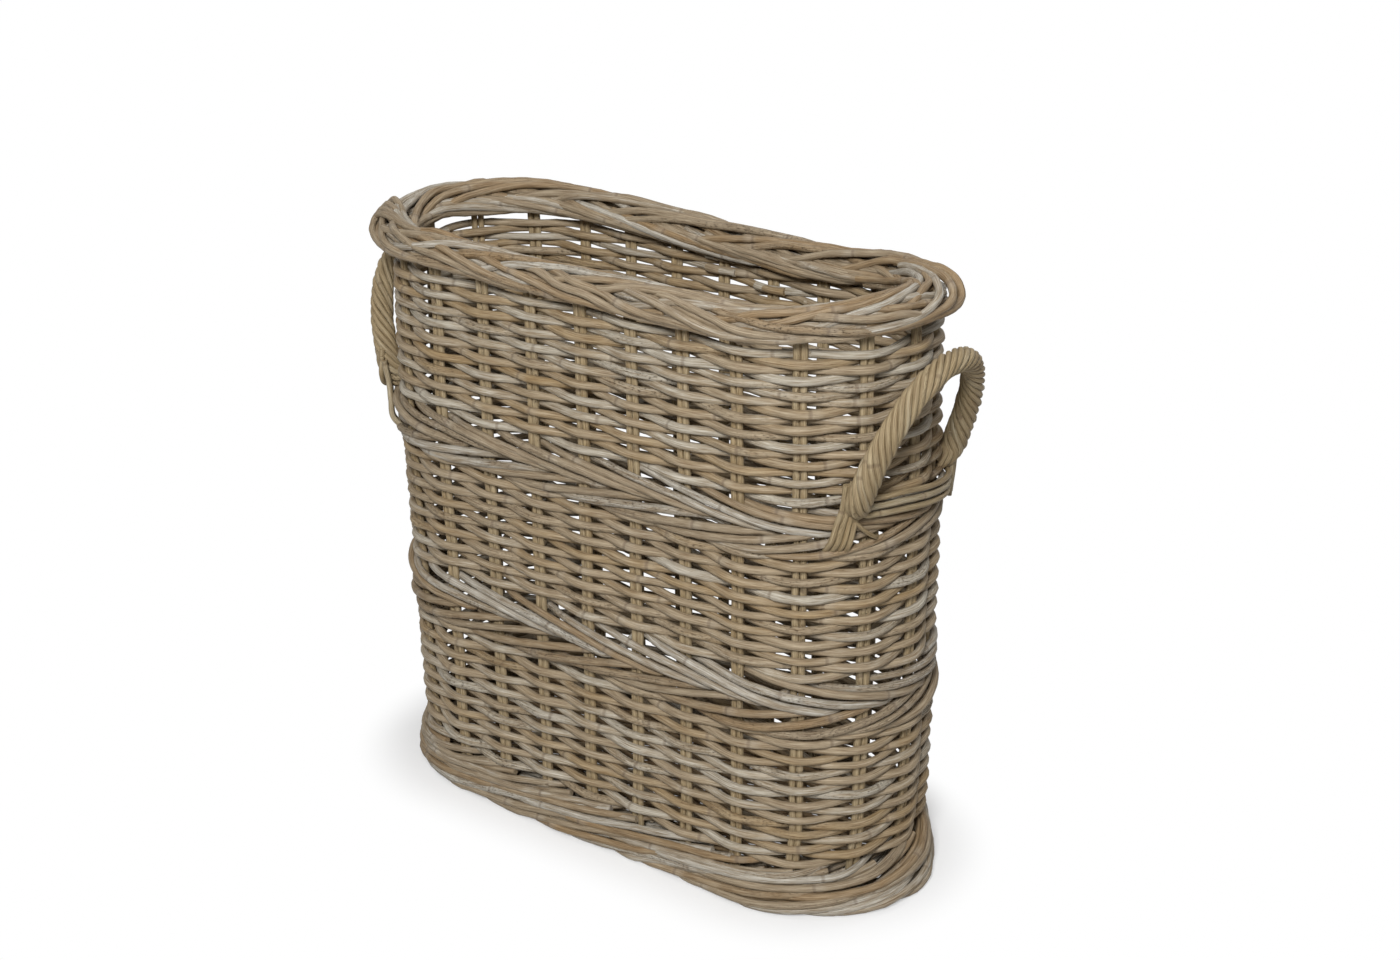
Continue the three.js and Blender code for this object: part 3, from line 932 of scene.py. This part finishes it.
def make_top_border():
    bundle = Bundle()
    for stake in range(stake_count):
        for strokes, shift, deeper, thin, thick in rim_sets:
            radius = cane_radius * rng.uniform(thin, thick)
            stroke = [(at, angle, depth + deeper) for at, angle, depth in strokes]
            lay_stroke(bundle, stake + shift, stroke, on_rim, radius, rim_play, rim_drift, rim_reach)
    for tables, count in ((left_loops, 4), (right_loops, 3), (cut_ends, 2)):
        lay_loose(bundle, tables, count, cane_radius, round_rim)
    return bundle


make_piece("top_border_canes", make_top_border(), "border_cane", ["top_border"])

# %% [markdown]
# ## The foot
# The foot flares out under the siding. Its canes come from under the basket, swing out to make the
# scalloped edge that it stands on, and climb slowly to the right over three or four stakes. A
# second layer comes out from behind them and climbs on, until each cane of it is tucked away
# behind the lowest row of the siding.

# %% The foot's flare and strokes
foot_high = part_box("foot_border")[1]
foot_out = foot_high.y - end_radius
# Each row: stakes from the middle of the front, and how far the foot flares as a share of its reach
flare_shares = [
    (0, 0.95), (1.5, 0.75), (3, 0.8), (4.2, 1.15), (5.2, 1.5), (6.2, 1.3), (7.2, 0.7), (8.5, 0.9),
    (10, 1.0), (16, 0.9), (18.5, 0.7), (19.5, 0.65), (20.3, 0.55), (21, 0.65), (22.5, 0.9), (24, 0.95),
]
# Each row: stakes on, share of the flare out, share of the height
edge_shares = [
    (-1.0, -0.10, 0.09), (-0.5, 0.40, 0.09), (-0.05, 0.84, 0.09), (0.5, 1.0, 0.12), (1.3, 1.0, 0.23),
    (2.1, 0.94, 0.36), (2.8, 0.84, 0.48), (3.3, 0.66, 0.55), (3.8, 0.36, 0.58),
]
upper_foot_shares = [
    (-0.9, 0.20, 0.36), (-0.2, 0.60, 0.40), (0.4, 0.84, 0.47), (1.2, 0.86, 0.58), (2.0, 0.80, 0.70),
    (2.8, 0.70, 0.83), (3.4, 0.54, 0.92), (3.8, 0.26, 0.97), (4.2, -0.20, 1.0),
]
short_shares = [
    (-0.6, 0.20, 0.09), (-0.1, 0.66, 0.09), (0.4, 0.96, 0.11), (1.0, 0.98, 0.22), (1.6, 0.86, 0.34),
    (2.1, 0.55, 0.42),
]
backing_shares = [
    (-0.4, 0.30, 0.10), (0.2, -0.05, 0.09), (0.8, -0.34, 0.12), (1.6, -0.40, 0.36), (2.4, -0.36, 0.66),
    (3.0, -0.20, 0.90),
]
lining_shares = [
    (0.0, 0.45, 0.10), (1.0, 0.70, 0.12), (2.0, 0.72, 0.28), (3.0, 0.60, 0.50), (4.0, 0.48, 0.74),
    (4.8, 0.34, 0.95),
]


def on_foot(out_share, height_share, radius):
    """Out as a share of how far the foot flares, and height as a share of the foot's."""
    return out_share * foot_out - radius, height_share * foot_high.z


def flaring(round_wall, out):
    return np.where(out > 0, out * from_table(flare_shares, np.mod(round_wall, stake_count)), out)


print("the foot stands out mm", round(foot_out / mm, 1))

# %% Foot border
# Each row: a stroke, how many lie round the foot, how far past its place it starts, and the shares
# of a cane's thickness that it is drawn between
foot_sets = [
    (edge_shares, 23, 0.0, 0.92, 1.16),
    (short_shares, 7, 0.8, 0.8, 0.95),
    (upper_foot_shares, 23, 0.4, 0.92, 1.12),
    (lining_shares, 36, 0.3, 0.9, 1.0),
    (backing_shares, 36, 0.2, 0.9, 1.1),
]


def make_foot_border():
    bundle = Bundle()
    for shares, count, shift, thin, thick in foot_sets:
        for start in np.linspace(0, stake_count, count, endpoint=False):
            radius = cane_radius * rng.uniform(thin, thick)
            lay_stroke(bundle, start + shift, shares, on_foot, radius, flare=flaring)
    return bundle


make_piece("foot_border_canes", make_foot_border(), "border_cane", ["foot_border"])

# %% [markdown]
# ## The base
# Cross sticks span the narrow way, and thinner canes are woven over and under them, parallel to
# the long sides. The same wave does it, swung upwards in place of outwards.

# %% Base sticks
stick_steps = 24
stick_unevenness = 0.12
stick_tones = (0.1, 0.6)
sticks = sorted(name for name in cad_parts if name.startswith("base_stick_"))
stick_middles = [(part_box(name)[0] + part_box(name)[1]) / 2 for name in sticks]


def make_sticks():
    for name, middle in zip(sticks, stick_middles):
        low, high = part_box(name)
        bundle = Bundle()
        across = np.linspace(low.y, high.y, stick_steps)
        points = np.stack([np.full(stick_steps, middle.x), across, np.full(stick_steps, middle.z)], -1)
        bundle.lay(points, (high.z - low.z) / 2, rng.uniform(*stick_tones))
        make_piece(f"{name}_cane", bundle, "base_cane", [name], plain_sides, stick_unevenness)


make_sticks()

# %% Base weave
base_cane_radius = 2.0 * mm
base_row_radii = 2.15
base_thickness_shares = (0.9, 1.1)
base_points_per_stick = 10
# How far the canes tuck into the foot's roll, and how far they lift to pass over a stick
base_tuck = 2 * mm
stick_radius = 3.0 * mm
base_lift = stick_radius + base_cane_radius * 0.9


def make_base_weave():
    low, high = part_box("base_weave")
    pitch = stick_middles[1].x - stick_middles[0].x
    rows = int((high.y - low.y) / (base_row_radii * base_cane_radius))
    weave = Bundle()
    for row in range(rows):
        y = low.y + (row + 0.5) * (high.y - low.y) / rows
        half = straight_half + math.sqrt(max((high.y + base_tuck) ** 2 - y**2, 0)) - base_cane_radius
        x = np.arange(-half, half, pitch / base_points_per_stick)
        points = np.stack([x, np.full(len(x), y), np.full(len(x), stick_middles[0].z)], -1)
        place = (x - stick_middles[0].x) / pitch * spacing
        thickness = base_cane_radius * rng.uniform(*base_thickness_shares)
        weave.lay(points, thickness, any_tone(), place, base_lift, row % 2, (0, 0, 1))
    make_piece("base_weave_canes", weave, "base_cane", ["base_weave"], plain_sides)


make_base_weave()

# %% [markdown]
# ## Rope-twisted handles
# A stiff core is bent into an arch, and eight canes are laid round it like the strands of a rope.
# A frame that travels along the arch without twisting carries the strands, and each strand's angle
# turns steadily with the distance travelled. At the feet the rope comes undone: some canes turn
# round the foot and run along the wall, and others hang down over the waling.

# %% Sizes of the handles
rope_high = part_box("right_handle_rope")[1]
rope_radius = 3 * cane_radius
strand_count = 8
strand_radius = 2.25 * mm
thick_foot_share = 0.16
lay_angle = math.radians(33)
arch_power = 0.936
arch_steps = 90
rope_step = 3 * mm
end_middle = quarter / spacing
foot_height = heights("upper_wale")[1] + 6 * mm
# Where the arch's ends are sunk in the wall: nearer the end's middle by a share, and lower
sunk_share = 0.9
sunk_height = foot_height - 2 * cane_radius
bend_smoothings = 5
# How each handle sits: mirrored or not, the feet's places from the end's middle in stakes, how far
# out the feet stand, and how far beyond the frame's rope the top reaches
handle_sits = {
    "right": (1, (-1.3, 1.28), (20 * mm, 15 * mm), 5 * mm),
    "left": (-1, (-1.2, 1.2), (11 * mm, 11 * mm), -2 * mm),
}
print("handle feet at", round(foot_height / mm, 1), "mm")


# %% The handle's line
def walked_along(line):
    """The distance of each point of a line along it."""
    return np.concatenate([[0], np.cumsum(np.linalg.norm(np.diff(line, axis=0), axis=1))])


def evenly(line, step):
    """The same line with its points so far apart."""
    walked = walked_along(line)
    at = np.linspace(0, walked[-1], max(int(walked[-1] / step), 2))
    return np.stack([np.interp(at, walked, line[:, k]) for k in range(3)], -1)


def arch_line(foot_stakes, foot_outs, reach):
    """The middle line of a handle, from inside the wall over the top and into the wall again."""
    turn = np.linspace(0, math.pi, arch_steps)
    rise = np.sin(turn)[:, None] ** arch_power
    share = np.abs(np.cos(turn)) ** arch_power
    top = np.array([rope_high.x + reach - rope_radius, 0, rope_high.z - rope_radius])
    feet = [on_wall(end_middle + at, out, foot_height) for at, out in zip(foot_stakes, foot_outs)]
    foot = np.where(turn[:, None] < math.pi / 2, *feet)
    line = foot + (top - foot) * rise
    line[:, 1] = foot[:, 1] * share
    sunk = [on_wall(end_middle + at * sunk_share, 0, sunk_height) for at in foot_stakes]
    line = evenly(np.concatenate([[sunk[0]], line, [sunk[1]]]), rope_step)
    for _ in range(bend_smoothings):
        line[1:-1] = (line[:-2] + 2 * line[1:-1] + line[2:]) / 4
    return line


def carried_frame(line):
    """Directions across a line that travel along it without twisting."""
    ahead = np.gradient(line, axis=0)
    ahead /= np.linalg.norm(ahead, axis=1)[:, None]
    side = np.zeros_like(line)
    side[0] = np.cross(ahead[0], (0, 0, 1))
    for k in range(len(line)):
        last = side[max(k - 1, 0)]
        side[k] = last - ahead[k] * np.dot(last, ahead[k])
        side[k] /= np.linalg.norm(side[k])
    return side, np.cross(ahead, side)


# %% Loose ends at the handles' feet
# Each row: stakes from the end's middle, then out and height above the foot in cane radii
first_tail = [
    (-1.42, 5.4, 5.0), (-1.45, 4.5, -1.0), (-1.525, 4.3, -5.2), (-1.6, 4.1, -9.8), (-1.66, 1.4, -13.0),
]
last_tail = [
    (-1.27, 5.4, 5.0), (-1.245, 4.5, -1.3), (-1.295, 4.3, -6.3), (-1.36, 4.1, -10.8), (-1.4, 1.4, -14.0),
]
thin_tail = [
    (-1.32, 4.6, 1.0), (-1.31, 4.5, -3.7), (-1.165, 4.3, -7.2), (-0.99, 3.7, -9.7), (-0.85, 1.0, -11.0),
]
high_turn = [
    (-1.2, 6.0, 9.0), (-1.24, 6.4, 5.0), (-1.12, 6.0, 1.6), (-0.9, 5.0, 0.6), (-0.5, 4.3, 0.2),
    (0.0, 4.2, -1.2), (0.6, 4.2, -3.0), (1.0, 4.2, -4.2), (1.3, 3.8, -5.0),
]
low_turn = [
    (-1.34, 6.0, 6.0), (-1.36, 6.4, 1.0), (-1.2, 6.0, -2.6), (-0.95, 4.6, -3.6), (-0.5, 4.3, -4.2),
    (0.0, 4.2, -5.4), (0.6, 4.2, -7.0), (1.0, 4.0, -8.0), (1.3, 3.6, -9.0),
]
near_hanging = [(1.1, 4.6, 6.0), (1.2, 5.2, 0.0), (1.26, 5.2, -6.0), (1.3, 4.8, -12.5)]
far_hanging = [(1.25, 5.0, 7.0), (1.4, 6.4, 1.0), (1.46, 6.4, -6.0), (1.48, 5.8, -11.5)]
# Each row: the first and the last cane of a group, how many there are, and their radius
foot_groups = [
    ((first_tail, last_tail), 4, strand_radius),
    ((high_turn, low_turn), 3, strand_radius),
    ((near_hanging, far_hanging), 3, strand_radius),
    ((thin_tail, thin_tail), 1, strand_radius * 0.7),
]


def lay_foot_canes(bundle, mirror):
    """The canes that leave the rope at its feet."""

    def by_the_foot(line):
        out, height = line[:, 1] * cane_radius, foot_height + line[:, 2] * cane_radius
        return on_wall(end_middle + line[:, 0], out, height) * (mirror, 1, 1)

    for tables, count, radius in foot_groups:
        lay_loose(bundle, tables, count, radius, by_the_foot)


# %% Core and strands
core_tone = 0.3
strand_tones = (0.1, 0.9)
strand_thickness_shares = (0.94, 1.06)
strand_play = 0.3 * mm
strand_waves = (2, 6)
strand_unevenness = 0.12
# The skin of the core lies this many strand radii under the skin of the rope
core_depth = 1.75


def make_handle(end, mirror, foot_stakes, foot_outs, reach):
    line = arch_line(foot_stakes, foot_outs, reach)
    walked = np.linspace(0, walked_along(line)[-1], len(line))
    print(end, "handle mm long", round(walked[-1] / mm))
    side, third = carried_frame(line)
    core = Bundle()
    core.lay(line * (mirror, 1, 1), rope_radius - core_depth * strand_radius, core_tone)
    make_piece(f"{end}_handle_core_cane", core, "stake_cane", [f"{end}_handle_core"], plain_sides)
    rope = Bundle()
    lay_radius = rope_radius - strand_radius
    turned = mirror * walked * math.tan(lay_angle) / lay_radius
    spin = 2 * math.pi * walked / walked[-1]
    from_crown = np.abs(2 * walked / walked[-1] - 1)
    widening = 1 + thick_foot_share * from_crown**2
    for strand in range(strand_count):
        play = strand_play * np.sin(rng.integers(*strand_waves) * spin + rng.uniform(*wave_starts))
        angle = 2 * math.pi * strand / strand_count - turned
        around = side * np.cos(angle)[:, None] + third * np.sin(angle)[:, None]
        points = (line + around * (lay_radius * widening + play)[:, None]) * (mirror, 1, 1)
        thickness = strand_radius * widening * rng.uniform(*strand_thickness_shares)
        rope.lay(points, thickness, rng.uniform(*strand_tones))
    lay_foot_canes(rope, mirror)
    nodes = [f"{end}_handle_rope"]
    make_piece(f"{end}_handle_strands", rope, "handle_cane", nodes, plain_sides, strand_unevenness)


for end, sits in handle_sits.items():
    make_handle(end, *sits)

# %% [markdown]
# ## Floor and background
# A white floor that fades into a white world stands for the studio. What the camera sees of them,
# straight or in a mirror, is white, while the light that they throw on the basket stays low. Close
# to the basket the floor is a matt grey-white that takes its real shadow and is also painted shade
# round the foot, and it fades to plain white with the distance from the oval.

# %% Floor
floor_half = 6.0
# How pale the floor is for light that falls on it, and how much paler it is shown
floor_grey, floor_gain = 0.5, 0.4
# Distances in metres from the oval's middle line between which the floor fades to plain white, and
# how far it is white before that. The grey within them is painted shade round the foot, besides the
# real shadow that it takes
shade_fade_start, shade_fade_end = 0.1, 0.16
white_at_start = 0.35
white = (1, 1, 1, 1)


def shown(tree):
    """One for what the camera sees, straight or by gloss or glass, and nought for other light."""
    camera_ray = tree.add("ShaderNodeLightPath", output="Is Camera Ray")
    mirrored = camera_ray + camera_ray.output("Is Glossy Ray")
    return (mirrored + camera_ray.output("Is Transmission Ray")).at_most(1.0)


def away_from_oval(tree):
    """How far a place on the floor is from the middle line of the oval."""
    away = tree.add("ShaderNodeTexCoord", output="Object")
    zero = (0, 0, 0)
    for operation, other in (("ABSOLUTE", zero), ("SUBTRACT", (straight_half, 0, 0)), ("MAXIMUM", zero)):
        away = tree.add("ShaderNodeVectorMath", {"operation": operation}, {0: away, 1: other})
    return tree.add("ShaderNodeVectorMath", {"operation": "LENGTH"}, {0: away}, output="Value")


def make_floor():
    mesh = bpy.data.meshes.new("floor")
    corners = [(x * floor_half, y * floor_half, 0) for x, y in ((-1, -1), (1, -1), (1, 1), (-1, 1))]
    mesh.from_pydata(corners, [], [(0, 1, 2, 3)])
    floor = placed("floor", mesh)
    material = bpy.data.materials.new("floor_white")
    tree = emptied(material)
    seen = shown(tree)
    bright = seen * floor_gain + floor_grey
    grey = tree.add("ShaderNodeCombineColor", None, {0: bright, 1: bright, 2: bright})
    matte = tree.add("ShaderNodeBsdfDiffuse", None, {"Color": grey})
    # The share of matt grey grows towards the oval: painted shade round the foot, and the place where the
    # real shadow shows
    span = {"Value": away_from_oval(tree), "From Min": shade_fade_start, "From Max": shade_fade_end}
    fade = tree.add("ShaderNodeMapRange", {"clamp": True, "interpolation_type": "SMOOTHSTEP"}, span)
    glow = tree.add("ShaderNodeEmission", None, {"Color": white, "Strength": 1.0})
    share = seen * (fade * (1 - white_at_start) + white_at_start)
    surface = tree.add("ShaderNodeMixShader", None, {0: share, 1: matte, 2: glow})
    tree.add("ShaderNodeOutputMaterial", None, {"Surface": surface})
    floor.data.materials.append(material)


make_floor()

# %% World
world_fill = 0.05


def make_world():
    world = bpy.data.worlds.new("studio")
    bpy.context.scene.world = world
    tree = emptied(world)
    strength = world_fill + shown(tree) * (1 - world_fill)
    sky = tree.add("ShaderNodeBackground", None, {"Color": white, "Strength": strength})
    tree.add("ShaderNodeOutputWorld", None, {"Surface": sky})


make_world()
print("world light:", world_fill)

# %% [markdown]
# ## Light and camera
# One strong lamp above and behind the camera lights the basket, and four weak ones soften its
# shadows. The camera is where the photograph was taken from, worked out from the oval of the rim,
# the foot and the stakes.

# %% Lamps
lamps_aim = Vector((0, 0, 0.22))
# Each lamp: its place and size in metres, and its power in watts
lamps = {
    "key": ((1.0, -1.85, 1.8), 0.7, 63),
    "top": ((-0.1, -0.2, 2.3), 0.6, 8),
    "left": ((-2.0, -1.4, 1.1), 1.2, 0.5),
    "right": ((2.2, -0.8, 1.2), 1.2, 3),
    "back": ((0.5, 1.9, 1.9), 0.9, 11),
}


def make_lamp(name, place, size, power):
    lamp = bpy.data.lights.new(name, "AREA")
    lamp.shape = "DISK"
    lamp.size = size
    lamp.energy = power
    hung = placed(name, lamp)
    hung.location = place
    hung.rotation_euler = (lamps_aim - Vector(place)).to_track_quat("-Z", "Y").to_euler()


for name, row in lamps.items():
    make_lamp(name, *row)
    print("lamp", name, "watts", row[-1])

# %% Camera
azimuth, pitch, roll = math.radians(36.75), math.radians(22.27), math.radians(-0.19)
focal_pixels, photo_width = 2092.0, 1400
camera_distance = 1.6675
aim_right, aim_height = 0.0338, 0.2798


def make_camera():
    right = Vector((math.cos(azimuth), math.sin(azimuth), 0))
    level = math.cos(pitch)
    back = Vector((math.sin(azimuth) * level, -math.cos(azimuth) * level, math.sin(pitch)))
    aim = right * aim_right + Vector((0, 0, aim_height))
    camera = placed("camera", bpy.data.cameras.new("camera"))
    camera.data.sensor_width = 36
    camera.data.lens = camera.data.sensor_width * focal_pixels / photo_width
    camera.location = aim + back * camera_distance
    camera.rotation_mode = "QUATERNION"
    camera.rotation_quaternion = Quaternion(back, roll) @ (-back).to_track_quat("-Z", "Y")
    bpy.context.scene.camera = camera
    print("lens mm", round(camera.data.lens, 2))


make_camera()
bpy.context.scene.view_settings.view_transform = "Standard"
